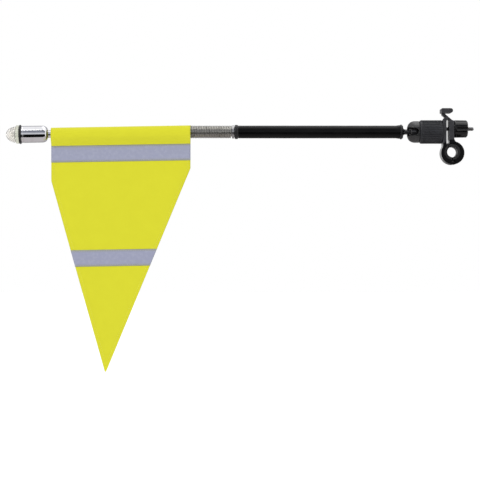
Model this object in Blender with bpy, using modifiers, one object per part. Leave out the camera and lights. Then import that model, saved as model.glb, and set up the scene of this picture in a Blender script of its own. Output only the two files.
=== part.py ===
"""Safety pennant on a sprung arm, for clamping to a bicycle carrier tube.

The arm lies along X, the pennant hangs in the XZ plane, and Z is up. The origin is the
centre of the hole in the tube clamp. From the clamp outwards (towards -X) come the ball
joint, the black arm, the coil spring, the mast with its pennant, and the lamp.
"""

import math

import bmesh
import bpy
from mathutils import Matrix

MM = 0.001
GAP = 0.3 * MM  # between neighbours that touch on the real object

# ---- driving dimensions -------------------------------------------------------------
POLE_Z = 20.3 * MM  # the arm's axis above the centre of the clamp's hole
BOLT_Z = 23.3 * MM  # the clamp bolt's axis
CLAMP_HALF_WIDTH = 8.0 * MM
BALL_X = -36.9 * MM
BALL_R = 6.0 * MM
NECK_R = 2.6 * MM
COLLAR_R = 11.6 * MM
ARM_R = 6.35 * MM
ARM_BORE_R = 5.2 * MM
SPRING_R = 6.35 * MM
SPRING_WIRE_R = 0.76 * MM
SPRING_PITCH = 1.66 * MM
MAST_R = 2.5 * MM
LAMP_R = 8.5 * MM

# stations along the arm, from the clamp outwards
ARM_REAR_X = -51.5 * MM
ARM_FRONT_X = -213.2 * MM
SPRING_ROOT_X = -219.8 * MM
SPRING_TIP_X = -268.0 * MM
FLAG_RIGHT_X = -261.0 * MM
FLAG_LEFT_X = -400.2 * MM
LAMP_NECK_X = -397.0 * MM
LAMP_BACK_X = -403.5 * MM
LAMP_MOUTH_X = -429.8 * MM
LENS_TIP_X = -445.5 * MM

# the spring gives a little under the mast's weight
MAST_DROOP = math.radians(0.85)
MAST_PIVOT_X = -263.0 * MM  # the middle of the tip plug's hold in the spring

# the pennant, measured down from the mast's axis before it droops
LOOP_R = 7.1 * MM
LOOP_BORE_R = 6.65 * MM
FLAG_LEFT_DROP = 46.0 * MM
FLAG_RIGHT_DROP = 35.8 * MM
FLAG_TIP_DROP = 238.4 * MM
FLAG_TIP_X = -346.3 * MM
FLAG_HALF_THICKNESS = 0.5 * MM
BAND_WIDTH = 16.5 * MM
BAND_THICKNESS = 0.4 * MM
UPPER_BAND_DROP = 11.2 * MM
LOWER_BAND_DROP = 115.8 * MM

# the tube clamp
RING_X = 0.4 * MM  # centre of the jaws' round outside, a little off the hole's centre
RING_Z = -0.9 * MM
RING_R = 11.6 * MM
JAW_BORE_R = 8.0 * MM
LINER_R = 7.7 * MM
TUBE_HOLE_R = 5.2 * MM
HINGE_Z = -10.4 * MM
HINGE_PIN_R = 1.1 * MM
KNUCKLE_R = 2.15 * MM
KNUCKLE_HALF = 2.6 * MM
FIXED_EAR = (-9.3 * MM, -5.7 * MM)
MOVING_EAR = (-3.2 * MM, 1.8 * MM)
TONGUE_HALF_WIDTH = 3.6 * MM
BOLT_R = 2.0 * MM

FINE, COARSE = 28, 16  # facets round a piece that shows, and round one that doesn't


# ---- scene and materials ------------------------------------------------------------
def new_collection(name):
    made = bpy.data.collections.new(name)
    bpy.context.scene.collection.children.link(made)
    return made


for old in list(bpy.data.objects):
    bpy.data.objects.remove(old)
PARTS = new_collection("safety_flag")
CUTTERS = new_collection("cutters")


def finish(name, colour, roughness, metallic=0.0, alpha=1.0):
    made = bpy.data.materials.new(name)
    made.use_nodes = True
    shader = made.node_tree.nodes["Principled BSDF"]
    shader.inputs["Base Color"].default_value = (*colour, 1.0)
    shader.inputs["Roughness"].default_value = roughness
    shader.inputs["Metallic"].default_value = metallic
    shader.inputs["Alpha"].default_value = alpha
    return made


BLACK_PLASTIC = finish("black_plastic", (0.03, 0.03, 0.034), 0.45)
BLACK_PVC = finish("black_pvc", (0.012, 0.012, 0.012), 0.3)
RUBBER = finish("rubber", (0.02, 0.02, 0.02), 0.8)
STEEL = finish("steel", (0.55, 0.53, 0.5), 0.3, 1.0)
POLISHED = finish("polished_aluminium", (0.86, 0.86, 0.88), 0.08, 1.0)
CLEAR = finish("clear_plastic", (0.93, 0.92, 0.89), 0.08, 0.0, 0.4)
BRASS = finish("brass", (0.75, 0.55, 0.25), 0.3, 1.0)
CIRCUIT = finish("circuit_board", (0.05, 0.2, 0.09), 0.5)
GLASS_FIBRE = finish("glass_fibre", (0.7, 0.7, 0.62), 0.4)
HI_VIS = finish("hi_vis_fabric", (0.72, 0.7, 0.03), 0.75)
REFLECTIVE = finish("reflective_tape", (0.33, 0.34, 0.44), 0.4)


# ---- modelling helpers --------------------------------------------------------------
def placed(name, mesh, material, collection=PARTS):
    obj = bpy.data.objects.new(name, mesh)
    collection.objects.link(obj)
    if material:
        mesh.materials.append(material)
    return obj


def as_cutter(obj):
    """Moves obj out of the model: it stays as the tool of a Boolean."""
    for holder in list(obj.users_collection):
        holder.objects.unlink(obj)
    CUTTERS.objects.link(obj)
    obj.hide_render = True
    obj.display_type = "WIRE"
    return obj


def combine(obj, tool, operation):
    modifier = obj.modifiers.new(f"{operation.lower()} {tool.name}", "BOOLEAN")
    modifier.operation = operation
    modifier.solver = "EXACT"
    modifier.object = as_cutter(tool)
    return obj


def cut(obj, tool):
    return combine(obj, tool, "DIFFERENCE")


def join(obj, tool):
    return combine(obj, tool, "UNION")


def arc(centre, radii, start, end, steps):
    """Points on an ellipse's arc, both ends included. Angles are in degrees."""
    angles = [math.radians(start + (end - start) * i / steps) for i in range(steps + 1)]
    return [(centre[0] + radii[0] * math.cos(a), centre[1] + radii[1] * math.sin(a)) for a in angles]


def turned(name, outer, material, bore=None, left_hole=None, right_hole=None, facets=FINE, axis_z=POLE_Z):
    """A turned piece about an axis along X. Its points are (x, radius), in the order of rising x.

    outer is the outside, and bore a hole right through. left_hole runs from its mouth at the
    low-x end to its bottom on the axis, and right_hole from its bottom to its mouth.
    """
    outside = list(reversed(outer))
    if bore:
        points = outside + bore
    else:
        points = (right_hole or [(outer[-1][0], 0.0)]) + outside + (left_hole or [(outer[0][0], 0.0)])
    mesh = bpy.data.meshes.new(name)
    edges = [(i, i + 1) for i in range(len(points) - 1)]
    if bore:
        edges.append((len(points) - 1, 0))
    mesh.from_pydata([(r, 0.0, x) for x, r in points], edges, [])
    obj = placed(name, mesh, material)
    obj.location = (0.0, 0.0, axis_z)
    obj.rotation_euler = (0.0, math.radians(90), 0.0)
    screw = obj.modifiers.new("turn", "SCREW")
    screw.steps = screw.render_steps = facets
    screw.use_merge_vertices = True
    screw.merge_threshold = 0.000002
    screw.use_smooth_shade = True
    return obj


def flat(name, outline, half_width, material, y=0.0, holes=()):
    """A flat piece: outlines of (x, z) points, spread half_width to both sides of y."""
    curve = bpy.data.curves.new(name, "CURVE")
    curve.dimensions = "2D"
    curve.fill_mode = "BOTH"
    curve.extrude = half_width
    for loop in (outline, *holes):
        spline = curve.splines.new("POLY")
        spline.points.add(len(loop) - 1)
        for point, (x, z) in zip(spline.points, loop):
            point.co = (x, z, 0.0, 1.0)
        spline.use_cyclic_u = True
    source = placed(name + "_outline", curve, None, CUTTERS)
    source.rotation_euler = (math.radians(90), 0.0, 0.0)
    source.location = (0.0, y, 0.0)
    bpy.context.view_layer.update()
    evaluated = source.evaluated_get(bpy.context.evaluated_depsgraph_get())
    mesh = bpy.data.meshes.new_from_object(evaluated)
    mesh.transform(source.matrix_world)
    bpy.data.objects.remove(source)
    work = bmesh.new()
    work.from_mesh(mesh)
    bmesh.ops.remove_doubles(work, verts=work.verts, dist=0.000001)
    bmesh.ops.recalc_face_normals(work, faces=work.faces)
    work.to_mesh(mesh)
    work.free()
    return placed(name, mesh, material)


def drooped(obj):
    """Tilts a piece that is on the mast, about the spring's end."""
    pivot = Matrix.Translation((MAST_PIVOT_X, 0.0, POLE_Z))
    turn = pivot @ Matrix.Rotation(-MAST_DROOP, 4, "Y") @ pivot.inverted()
    obj.matrix_basis = turn @ obj.matrix_basis
    return obj


def plumb(outline):
    """Lowers an outline of (x, z) points along the drooping mast. It still hangs plumb."""
    slope = math.tan(MAST_DROOP)
    return [(x, z + slope * (x - MAST_PIVOT_X)) for x, z in outline]


def block(name, x, y, z):
    """A box from its ranges."""
    work = bmesh.new()
    size = Matrix.Diagonal((x[1] - x[0], y[1] - y[0], z[1] - z[0], 1.0))
    centre = Matrix.Translation((sum(x) / 2, sum(y) / 2, sum(z) / 2))
    bmesh.ops.create_cube(work, size=1.0, matrix=centre @ size)
    mesh = bpy.data.meshes.new(name)
    work.to_mesh(mesh)
    work.free()
    return placed(name, mesh, None)


def rod(name, along, centre, radius, span, material=None, facets=FINE):
    """A cylinder along "X" or "Y". centre is its axis's place on the two other axes."""
    work = bmesh.new()
    middle = sum(span) / 2
    if along == "X":
        turn, at = Matrix.Rotation(math.radians(90), 4, "Y"), (middle, *centre)
    else:
        turn, at = Matrix.Rotation(math.radians(90), 4, "X"), (centre[0], middle, centre[1])
    bmesh.ops.create_cone(
        work,
        cap_ends=True,
        segments=facets,
        radius1=radius,
        radius2=radius,
        depth=span[1] - span[0],
        matrix=Matrix.Translation(at) @ turn,
    )
    mesh = bpy.data.meshes.new(name)
    work.to_mesh(mesh)
    work.free()
    return placed(name, mesh, material)


def coil(name, path, wire_r, material, sides_setting):
    """A wire along a list of points."""
    curve = bpy.data.curves.new(name, "CURVE")
    curve.dimensions = "3D"
    curve.bevel_depth = wire_r
    curve.bevel_resolution = sides_setting
    curve.use_fill_caps = True
    spline = curve.splines.new("POLY")
    spline.points.add(len(path) - 1)
    for point, co in zip(spline.points, path):
        point.co = (*co, 1.0)
    return placed(name, curve, material)


def helix(x_from, x_to, turns, radius_at, per_turn):
    """Points of a helix about the arm's axis. radius_at gives the radius at a share of its length."""
    count = round(turns * per_turn)
    made = []
    for i in range(count + 1):
        share = i / count
        angle = 2 * math.pi * turns * share
        r = radius_at(share)
        made.append((x_from + (x_to - x_from) * share, r * math.cos(angle), POLE_Z + r * math.sin(angle)))
    return made


# ---- the tube clamp -----------------------------------------------------------------
def ring_point_z(x):
    """Height at which the jaws' round outside has this x, on its upper half."""
    return RING_Z + math.sqrt(RING_R**2 - (x - RING_X) ** 2)


def ring_angle(x, z):
    return math.degrees(math.atan2(z - RING_Z, x - RING_X))


def fixed_jaw():
    """Left ear, half ring and two outer knuckles, with the ball joint's threaded spigot."""
    left, right = FIXED_EAR
    split = RING_X - GAP
    start = ring_angle(left, ring_point_z(left))
    outline = (
        [(right, 0.0), (right, 31.0 * MM), (-4.6 * MM, 33.2 * MM), (-4.4 * MM, 34.6 * MM)]
        + [(-6.2 * MM, 35.2 * MM), (-7.6 * MM, 34.0 * MM), (left, 31.0 * MM)]
        + arc((RING_X, RING_Z), (RING_R, RING_R), start, 269.0, 18)
        + [(split, RING_Z - RING_R + 0.2 * MM), (split, 0.0)]
    )
    jaw = flat("fixed_jaw", outline, CLAMP_HALF_WIDTH, BLACK_PLASTIC)
    spigot = turned(
        "spigot_blank",
        [(-25.5 * MM, 7.8 * MM), (-24.9 * MM, 8.2 * MM), (-8.0 * MM, 8.2 * MM)],
        BLACK_PLASTIC,
    )
    join(jaw, spigot)
    cut(jaw, rod("jaw_bore_fixed", "Y", (0.0, 0.0), JAW_BORE_R, (-9 * MM, 9 * MM), facets=48))
    socket_hole = turned(
        "socket_hole",
        [(-27.0 * MM, 8.0 * MM), (-25.6 * MM, 7.1 * MM), (-22.7 * MM, 5.6 * MM), (-13.4 * MM, 5.6 * MM)],
        None,
    )
    cut(jaw, socket_hole)
    cut(jaw, rod("bolt_head_pocket", "X", (0.0, BOLT_Z), 4.4 * MM, (-14.5 * MM, -9.5 * MM), facets=24))
    cut(jaw, rod("bolt_hole_fixed", "X", (0.0, BOLT_Z), BOLT_R + GAP, (-10.5 * MM, -4.0 * MM), facets=24))
    prong_gap = block(
        "prong_gap",
        (-12.0 * MM, -3.0 * MM),
        (-TONGUE_HALF_WIDTH - GAP, TONGUE_HALF_WIDTH + GAP),
        (29.4 * MM, 40.0 * MM),
    )
    cut(jaw, prong_gap)
    for side in (-1, 1):
        inner, outer_end = side * (KNUCKLE_HALF + GAP), side * (CLAMP_HALF_WIDTH - 0.2 * MM)
        span = (min(inner, outer_end), max(inner, outer_end))
        join(jaw, rod(f"outer_knuckle_{side}", "Y", (RING_X, HINGE_Z), KNUCKLE_R, span, facets=24))
    clearance = rod(
        "centre_knuckle_room",
        "Y",
        (RING_X, HINGE_Z),
        KNUCKLE_R + GAP,
        (-KNUCKLE_HALF - GAP, KNUCKLE_HALF + GAP),
        facets=24,
    )
    cut(jaw, clearance)
    cut(jaw, rod("pin_hole_fixed", "Y", (RING_X, HINGE_Z), HINGE_PIN_R + 0.15 * MM, (-9 * MM, 9 * MM), facets=24))
    return jaw


def hinged_jaw():
    """Right ear, half ring, centre knuckle, and the finger tab on its slanted tongue."""
    left, right = MOVING_EAR
    split = RING_X + GAP
    foot = (5.6 * MM, ring_point_z(5.6 * MM))
    ear_foot_z = 14.5 * MM
    root = arc((foot[0], ear_foot_z), (foot[0] - right, ear_foot_z - foot[1]), 270.0, 180.0, 6)
    outline = (
        [(split, 0.0), (split, RING_Z - RING_R + 0.2 * MM)]
        + arc((RING_X, RING_Z), (RING_R, RING_R), -88.0, ring_angle(*foot) + 4.0, 26)
        + [(x, z) for x, z in root if z > foot[1] + 0.3 * MM]
        + [(right, 30.9 * MM), (right - 1.1 * MM, 31.7 * MM), (left, 31.7 * MM), (left, 0.0)]
    )
    jaw = flat("hinged_jaw", outline, CLAMP_HALF_WIDTH, BLACK_PLASTIC)
    tongue_outline = [
        (left + 0.5 * MM, 31.0 * MM),
        (1.3 * MM, 31.2 * MM),
        (-7.0 * MM, 38.4 * MM),
        (-7.6 * MM, 40.5 * MM),
        (-10.5 * MM, 40.5 * MM),
        (-9.8 * MM, 36.9 * MM),
    ]
    join(jaw, flat("tongue_blank", tongue_outline, TONGUE_HALF_WIDTH, None))
    tab_outline = (
        arc((-1.6 * MM, 41.3 * MM), (2.3 * MM, 2.3 * MM), -90.0, 90.0, 8)
        + arc((-9.8 * MM, 42.4 * MM), (1.2 * MM, 1.2 * MM), 90.0, 180.0, 4)
        + [(-11.0 * MM, 39.0 * MM)]
    )
    join(jaw, flat("finger_tab_blank", tab_outline, CLAMP_HALF_WIDTH, None))
    cut(jaw, rod("jaw_bore_hinged", "Y", (0.0, 0.0), JAW_BORE_R, (-9 * MM, 9 * MM), facets=48))
    for side in (-1, 1):
        inner, outer_end = side * KNUCKLE_HALF, side * (CLAMP_HALF_WIDTH + 1 * MM)
        span = (min(inner, outer_end), max(inner, outer_end))
        cut(jaw, rod(f"outer_knuckle_room_{side}", "Y", (RING_X, HINGE_Z), KNUCKLE_R + GAP, span, facets=24))
    centre = rod(
        "centre_knuckle",
        "Y",
        (RING_X, HINGE_Z),
        KNUCKLE_R,
        (0.1 * MM - KNUCKLE_HALF, KNUCKLE_HALF - 0.1 * MM),
        facets=24,
    )
    join(jaw, centre)
    cut(jaw, rod("pin_hole_hinged", "Y", (RING_X, HINGE_Z), HINGE_PIN_R + 0.15 * MM, (-9 * MM, 9 * MM), facets=24))
    slot_outline = [
        (y, z)
        for y, z in arc((0.0, BOLT_Z + 0.5 * MM), (2.4 * MM, 2.4 * MM), 0.0, 180.0, 8)
        + arc((0.0, BOLT_Z - 0.9 * MM), (2.4 * MM, 2.4 * MM), 180.0, 360.0, 8)
    ]
    slot = flat("bolt_slot", slot_outline, 5 * MM, None)
    slot.rotation_euler = (0.0, 0.0, math.radians(90))
    cut(jaw, slot)
    return jaw


def liners():
    """Two rubber pads, one in each jaw, round the tube's hole. A lip on one fills the slit."""
    made = []
    for name, start, end, count in (("liner_fixed", 128.0, 266.5, 22), ("liner_hinged", -86.5, 122.5, 32)):
        outline = arc((0.0, 0.0), (LINER_R, LINER_R), start, end, count) + arc(
            (0.0, 0.0), (TUBE_HOLE_R, TUBE_HOLE_R), end, start, count
        )
        made.append(flat(name, outline, CLAMP_HALF_WIDTH - 0.2 * MM, RUBBER))
    lip_x = (FIXED_EAR[1] + GAP, MOVING_EAR[0] - GAP)
    lip_outline = [(lip_x[0], 5.3 * MM), (-4.7 * MM, 5.3 * MM), (-4.4 * MM, 6.9 * MM)]
    lip_outline += [(lip_x[1], 7.3 * MM), (lip_x[1], 8.6 * MM), (lip_x[0], 8.6 * MM)]
    join(made[0], flat("slit_lip", lip_outline, CLAMP_HALF_WIDTH - 0.4 * MM, None))
    return made


def hinge_pin():
    half = CLAMP_HALF_WIDTH - 0.1 * MM
    return rod("hinge_pin", "Y", (RING_X, HINGE_Z), HINGE_PIN_R, (-half, half), STEEL, facets=20)


def clamp_bolt():
    """Hexagon head held in the fixed jaw, and a shank out to the right through both ears."""
    bolt = rod("clamp_bolt", "X", (0.0, BOLT_Z), BOLT_R, (-11.0 * MM, 22.0 * MM), STEEL, facets=24)
    join(bolt, rod("bolt_head", "X", (0.0, BOLT_Z), 4.0 * MM, (-13.0 * MM, -9.9 * MM), facets=6))
    return bolt


def thumb_nut():
    """Six-lobed nut with its washer in a recess and a brass insert at its outer end."""
    seat_x = MOVING_EAR[1] + GAP
    nut = turned(
        "thumb_nut",
        [
            (seat_x + 0.2 * MM, 8.3 * MM),
            (seat_x + 0.7 * MM, 8.8 * MM),
            (14.6 * MM, 8.6 * MM),
            (15.8 * MM, 7.2 * MM),
        ],
        BLACK_PLASTIC,
        bore=[
            (seat_x + 0.2 * MM, 5.6 * MM),
            (3.3 * MM, 5.6 * MM),
            (3.3 * MM, BOLT_R + GAP),
            (10.8 * MM, BOLT_R + GAP),
            (10.8 * MM, 3.7 * MM),
            (15.8 * MM, 3.7 * MM),
        ],
        axis_z=BOLT_Z,
    )
    lobes = 6
    for i in range(lobes):
        angle = math.radians(360.0 * (i + 0.5) / lobes)
        centre = (10.2 * MM * math.sin(angle), BOLT_Z + 10.2 * MM * math.cos(angle))
        cut(nut, rod(f"flute_{i}", "X", centre, 2.7 * MM, (4.4 * MM, 17.0 * MM), facets=14))
    washer = turned(
        "nut_washer",
        [(seat_x, 5.2 * MM), (3.0 * MM, 5.2 * MM)],
        STEEL,
        bore=[(seat_x, BOLT_R + GAP), (3.0 * MM, BOLT_R + GAP)],
        axis_z=BOLT_Z,
        facets=24,
    )
    insert = turned(
        "nut_insert",
        [(11.1 * MM, 3.4 * MM), (15.6 * MM, 3.4 * MM)],
        BRASS,
        bore=[(11.1 * MM, BOLT_R + 0.15 * MM), (15.6 * MM, BOLT_R + 0.15 * MM)],
        axis_z=BOLT_Z,
        facets=24,
    )
    return nut, washer, insert


# ---- the ball joint -----------------------------------------------------------------
def ball_socket():
    """Collet round the ball: a slot in front lets the neck fold to the side, a slit behind gives."""
    dome_r = 10.8 * MM
    head_r = 10.4 * MM
    groove_r = 9.9 * MM
    cavity_r = BALL_R + GAP
    mouth_r = 4.9 * MM
    mouth_angle = math.degrees(math.asin(mouth_r / cavity_r))
    socket = turned(
        "ball_socket",
        arc((-37.2 * MM, 4.0 * MM), (7.2 * MM, 6.8 * MM), 168.0, 90.0, 8)
        + [(-32.6 * MM, dome_r), (-32.5 * MM, groove_r), (-30.5 * MM, groove_r), (-30.4 * MM, head_r)]
        + [(-26.0 * MM, head_r), (-26.0 * MM, 6.8 * MM), (-23.0 * MM, 5.3 * MM), (-14.0 * MM, 5.3 * MM)],
        BLACK_PLASTIC,
        left_hole=[(-44.24 * MM, 5.1 * MM)]
        + arc((BALL_X, 0.0), (cavity_r, cavity_r), 180.0 - mouth_angle, 0.0, 10),
    )
    slot_r, slot_mouth = 3.4 * MM, 4.7 * MM
    slot_outline = arc((BALL_X, POLE_Z), (slot_r, slot_r), -90.0, 90.0, 14)
    slot_outline += [(-46 * MM, POLE_Z + slot_mouth), (-46 * MM, POLE_Z - slot_mouth)]
    cut(socket, flat("front_slot", slot_outline, 4.5 * MM, None, y=-7.5 * MM))
    slit = block("relief_slit", (-46 * MM, -28 * MM), (2 * MM, 12 * MM), (POLE_Z - 0.5 * MM, POLE_Z + 0.5 * MM))
    cut(socket, slit)
    return socket


def lock_collar():
    """Grip collar on the spigot's thread. Its front lip draws the collet into its cone."""
    front, back = -32.1 * MM, -9.6 * MM
    outer = [
        (front, COLLAR_R - 0.9 * MM),
        (front + 0.5 * MM, COLLAR_R - 0.3 * MM),
        (front + 2.4 * MM, COLLAR_R - 0.3 * MM),
        (front + 2.8 * MM, COLLAR_R),
        (back - 2.4 * MM, COLLAR_R),
        (back - 2.0 * MM, COLLAR_R - 0.4 * MM),
        (back, COLLAR_R - 0.4 * MM),
    ]
    bore = [
        (front, 10.2 * MM),
        (front + 1.2 * MM, 10.2 * MM),
        (front + 1.3 * MM, 10.75 * MM),
        (-25.6 * MM, 10.75 * MM),
        (-25.6 * MM, 8.5 * MM),
        (back, 8.5 * MM),
    ]
    return turned("lock_collar", outer, BLACK_PLASTIC, bore=bore)


def ball_stud():
    """Ball, neck and flare, with a spigot that turns in the arm's rear cap."""
    flare_x = -49.3 * MM
    neck_end = BALL_X - 9.6 * MM
    meet = math.degrees(math.asin(NECK_R / BALL_R))
    spigot_r = 2.9 * MM
    groove_r = 2.3 * MM
    outer = (
        [(-66.0 * MM, spigot_r - 0.4 * MM), (-65.6 * MM, spigot_r), (-62.0 * MM, spigot_r)]
        + [(-61.95 * MM, groove_r), (-60.65 * MM, groove_r), (-60.6 * MM, spigot_r), (flare_x, spigot_r)]
        + [(flare_x, 6.2 * MM), (flare_x + 0.5 * MM, 6.6 * MM)]
        + arc((neck_end, 6.6 * MM), (neck_end - flare_x - 0.5 * MM, 6.6 * MM - NECK_R), 188.0, 270.0, 6)
        + arc((BALL_X, 0.0), (BALL_R, BALL_R), 180.0 - meet, 0.0, 11)
    )
    return turned("ball_stud", outer, BLACK_PLASTIC)


# ---- the arm ------------------------------------------------------------------------
def arm():
    """Black sleeve over a glass-fibre rod, with an end ring in front and a cap behind."""
    sleeve = turned(
        "arm_sleeve",
        [
            (ARM_FRONT_X, ARM_R - 0.3 * MM),
            (ARM_FRONT_X + 0.4 * MM, ARM_R),
            (ARM_REAR_X - 3.0 * MM, ARM_R + 0.1 * MM),
            (ARM_REAR_X - GAP, ARM_R + 0.5 * MM),
        ],
        BLACK_PVC,
        bore=[(ARM_FRONT_X, ARM_BORE_R), (ARM_REAR_X - GAP, ARM_BORE_R)],
    )
    ring_bore = 5.2 * MM
    ring_front, ring_back = -216.8 * MM, ARM_FRONT_X - GAP
    ring = turned(
        "arm_front_ring",
        [
            (ring_front, 6.7 * MM),
            (ring_front + 0.5 * MM, 7.1 * MM),
            (ring_back - 0.5 * MM, 7.1 * MM),
            (ring_back, 6.7 * MM),
        ],
        BLACK_PVC,
        bore=[(ring_front, ring_bore), (ring_back, ring_bore)],
    )
    rod_r = 2.8 * MM
    core = rod("arm_rod", "X", (0.0, POLE_Z), rod_r, (-207.5 * MM, -69.8 * MM), GLASS_FIBRE, facets=COARSE)
    cap_spigot_r = ARM_BORE_R - GAP
    cap = turned(
        "arm_rear_cap",
        [
            (-76.0 * MM, cap_spigot_r),
            (ARM_REAR_X, cap_spigot_r),
            (ARM_REAR_X, 7.1 * MM),
            (ARM_REAR_X + 0.4 * MM, 7.4 * MM),
            (-50.1 * MM, 7.4 * MM),
            (-49.6 * MM, 7.1 * MM),
        ],
        BLACK_PLASTIC,
        bore=[
            (-76.0 * MM, rod_r + GAP),
            (-69.3 * MM, rod_r + GAP),
            (-69.3 * MM, 2.2 * MM),
            (-68.0 * MM, 2.2 * MM),
            (-68.0 * MM, 3.2 * MM),
            (-62.1 * MM, 3.2 * MM),
            (-62.1 * MM, 4.0 * MM),
            (-60.5 * MM, 4.0 * MM),
            (-60.5 * MM, 3.2 * MM),
            (-49.6 * MM, 3.2 * MM),
        ],
    )
    clip = turned(
        "stud_snap_ring",
        [(-61.75 * MM, 3.7 * MM), (-60.85 * MM, 3.7 * MM)],
        STEEL,
        bore=[(-61.75 * MM, 2.5 * MM), (-60.85 * MM, 2.5 * MM)],
        facets=COARSE,
    )
    cut(clip, block("snap_ring_split", (-63 * MM, -59 * MM), (-0.8 * MM, 0.8 * MM), (POLE_Z, POLE_Z + 6 * MM)))
    return sleeve, ring, core, cap, clip


# ---- the spring and the mast --------------------------------------------------------
def spring():
    mean_r = SPRING_R - SPRING_WIRE_R
    start, end = SPRING_TIP_X + SPRING_WIRE_R, SPRING_ROOT_X - SPRING_WIRE_R
    turns = (end - start) / SPRING_PITCH
    return coil("coil_spring", helix(start, end, turns, lambda share: mean_r, 10), SPRING_WIRE_R, STEEL, 1)


def spring_plugs():
    inside_r = SPRING_R - 2 * SPRING_WIRE_R - 0.25 * MM
    root = turned(
        "spring_root_plug",
        [
            (-226.0 * MM, inside_r - 0.5 * MM),
            (-225.5 * MM, inside_r),
            (SPRING_ROOT_X + 0.2 * MM, inside_r),
            (SPRING_ROOT_X + 0.2 * MM, 6.5 * MM),
            (-217.1 * MM, 6.5 * MM),
            (-217.1 * MM, ARM_BORE_R - GAP),
            (-198.0 * MM, ARM_BORE_R - GAP),
        ],
        POLISHED,
        right_hole=[(-208.0 * MM, 0.0), (-208.0 * MM, 3.1 * MM), (-198.0 * MM, 3.1 * MM)],
    )
    tip = turned(
        "spring_tip_plug",
        [
            (-280.0 * MM, 4.3 * MM),
            (-270.6 * MM, 4.3 * MM),
            (-270.6 * MM, 6.2 * MM),
            (SPRING_TIP_X - GAP, 6.2 * MM),
            (SPRING_TIP_X - GAP, inside_r),
            (-258.0 * MM, inside_r),
        ],
        POLISHED,
        left_hole=[(-280.0 * MM, MAST_R + GAP), (-271.4 * MM, MAST_R + GAP), (-271.4 * MM, 0.0)],
        facets=24,
    )
    return root, drooped(tip)


def mast():
    span = (-403.7 * MM, -271.8 * MM)
    return drooped(rod("mast_rod", "X", (0.0, POLE_Z), MAST_R, span, POLISHED, facets=COARSE))


# ---- the pennant --------------------------------------------------------------------
def edge_x(drop, side):
    """x of the pennant's left (-1) or right (+1) edge at this distance below the arm's axis."""
    corner_x, corner = (FLAG_LEFT_X, FLAG_LEFT_DROP) if side < 0 else (FLAG_RIGHT_X, FLAG_RIGHT_DROP)
    if drop <= corner:
        return corner_x
    return corner_x + (FLAG_TIP_X - corner_x) * (drop - corner) / (FLAG_TIP_DROP - corner)


def pennant():
    """Cloth with a sewn loop along its top, that the mast passes through."""
    loop = turned(
        "pennant",
        [(FLAG_LEFT_X, LOOP_R), (FLAG_RIGHT_X, LOOP_R)],
        HI_VIS,
        bore=[(FLAG_LEFT_X, LOOP_BORE_R), (FLAG_RIGHT_X, LOOP_BORE_R)],
        facets=32,
    )
    top = POLE_Z - 6.85 * MM
    outline = [
        (FLAG_LEFT_X, top),
        (FLAG_LEFT_X, POLE_Z - FLAG_LEFT_DROP),
        (FLAG_TIP_X, POLE_Z - FLAG_TIP_DROP),
        (FLAG_RIGHT_X, POLE_Z - FLAG_RIGHT_DROP),
        (FLAG_RIGHT_X, top),
    ]
    return join(drooped(loop), flat("pennant_sheet", plumb(outline), FLAG_HALF_THICKNESS, HI_VIS))


def bands():
    """Reflective tape across both faces of the pennant, high up and half way down."""
    made = []
    offset = FLAG_HALF_THICKNESS + GAP + BAND_THICKNESS / 2
    for level, drop in (("upper", UPPER_BAND_DROP), ("lower", LOWER_BAND_DROP)):
        below = drop + BAND_WIDTH
        outline = [
            (edge_x(drop, -1), POLE_Z - drop),
            (edge_x(below, -1), POLE_Z - below),
            (edge_x(below, 1), POLE_Z - below),
            (edge_x(drop, 1), POLE_Z - drop),
        ]
        for face, y in (("front", -offset), ("back", offset)):
            made.append(flat(f"band_{level}_{face}", plumb(outline), BAND_THICKNESS / 2, REFLECTIVE, y=y))
    return made


# ---- the lamp -----------------------------------------------------------------------
def lamp_body():
    """Turned shell with a mouth for the lens and a shouldered neck on the mast."""
    shoulder = arc((-409.0 * MM, LAMP_R - 4.7 * MM), (5.5 * MM, 4.7 * MM), 90.0, 0.0, 6)
    outer = (
        [(LAMP_MOUTH_X, LAMP_R - 0.3 * MM), (LAMP_MOUTH_X + 0.4 * MM, LAMP_R)]
        + shoulder
        + [(LAMP_NECK_X - 0.4 * MM, 3.8 * MM), (LAMP_NECK_X, 3.4 * MM)]
    )
    mouth_r, cell_bore_r = 7.2 * MM, 6.1 * MM
    body = turned(
        "lamp_body",
        outer,
        POLISHED,
        bore=[
            (LAMP_MOUTH_X, mouth_r),
            (-425.0 * MM, mouth_r),
            (-425.0 * MM, cell_bore_r),
            (-410.5 * MM, cell_bore_r),
            (-410.5 * MM, 1.2 * MM),
            (-404.2 * MM, 1.2 * MM),
            (-404.2 * MM, MAST_R + GAP),
            (LAMP_NECK_X, MAST_R + GAP),
        ],
    )
    return drooped(body)


def lens():
    """Domed lens with a flange, and a threaded skirt that screws into the lamp's mouth."""
    base_x, flange_back = -435.2 * MM, -432.7 * MM
    dome = arc((base_x, 0.0), (base_x - LENS_TIP_X, 8.0 * MM), 180.0, 90.0, 8)
    inner = arc((base_x - 1.0 * MM, 0.0), (6.6 * MM, 5.6 * MM), 90.0, 180.0, 6)
    skirt_end = -425.5 * MM
    outer = dome + [
        (base_x, 8.8 * MM),
        (base_x + 0.4 * MM, 9.1 * MM),
        (flange_back, 9.1 * MM),
        (flange_back, 6.9 * MM),
        (skirt_end, 6.9 * MM),
    ]
    inside = list(reversed(inner)) + [(skirt_end, 5.6 * MM)]
    return drooped(turned("lens", outer, CLEAR, right_hole=inside))


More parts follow.
